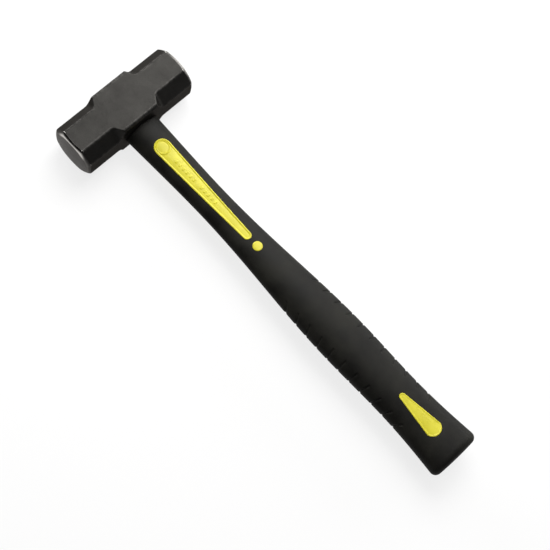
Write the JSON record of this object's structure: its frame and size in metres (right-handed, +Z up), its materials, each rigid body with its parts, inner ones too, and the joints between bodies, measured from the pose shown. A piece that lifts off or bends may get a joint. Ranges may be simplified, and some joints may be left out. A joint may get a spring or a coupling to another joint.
{
  "type": "sledgehammer",
  "caption": "Short-handled double-face sledgehammer: octagonal forged head with wide cheeks on a fibreglass handle with a yellow jacket and a black notched rubber grip.",
  "frame": {"origin": "on the underside of the lower cheek, straight below the middle of the eye, with the hammer lying on its side", "axes": "+X along the handle from the head to the butt, Y along the head from one striking face to the other, +Z up through the two cheeks"},
  "size_m": [0.4135, 0.1162, 0.041],
  "materials": {
    "forged_steel": "dark satin forging, bright ground bevels",
    "fibreglass": "pultruded glass fibre, matt",
    "yellow_plastic": "moulded, satin",
    "black_rubber": "moulded, fine matt texture",
    "potting_resin": "cast epoxy, glossy",
    "seal_rubber": "matt"
  },
  "bodies": {
    "root": {"head": "forged_steel", "core_rod": "fibreglass", "handle_jacket": "yellow_plastic", "grip_sleeve": "black_rubber", "eye_resin": "potting_resin", "eye_dam": "seal_rubber"}
  },
  "joints": []
}
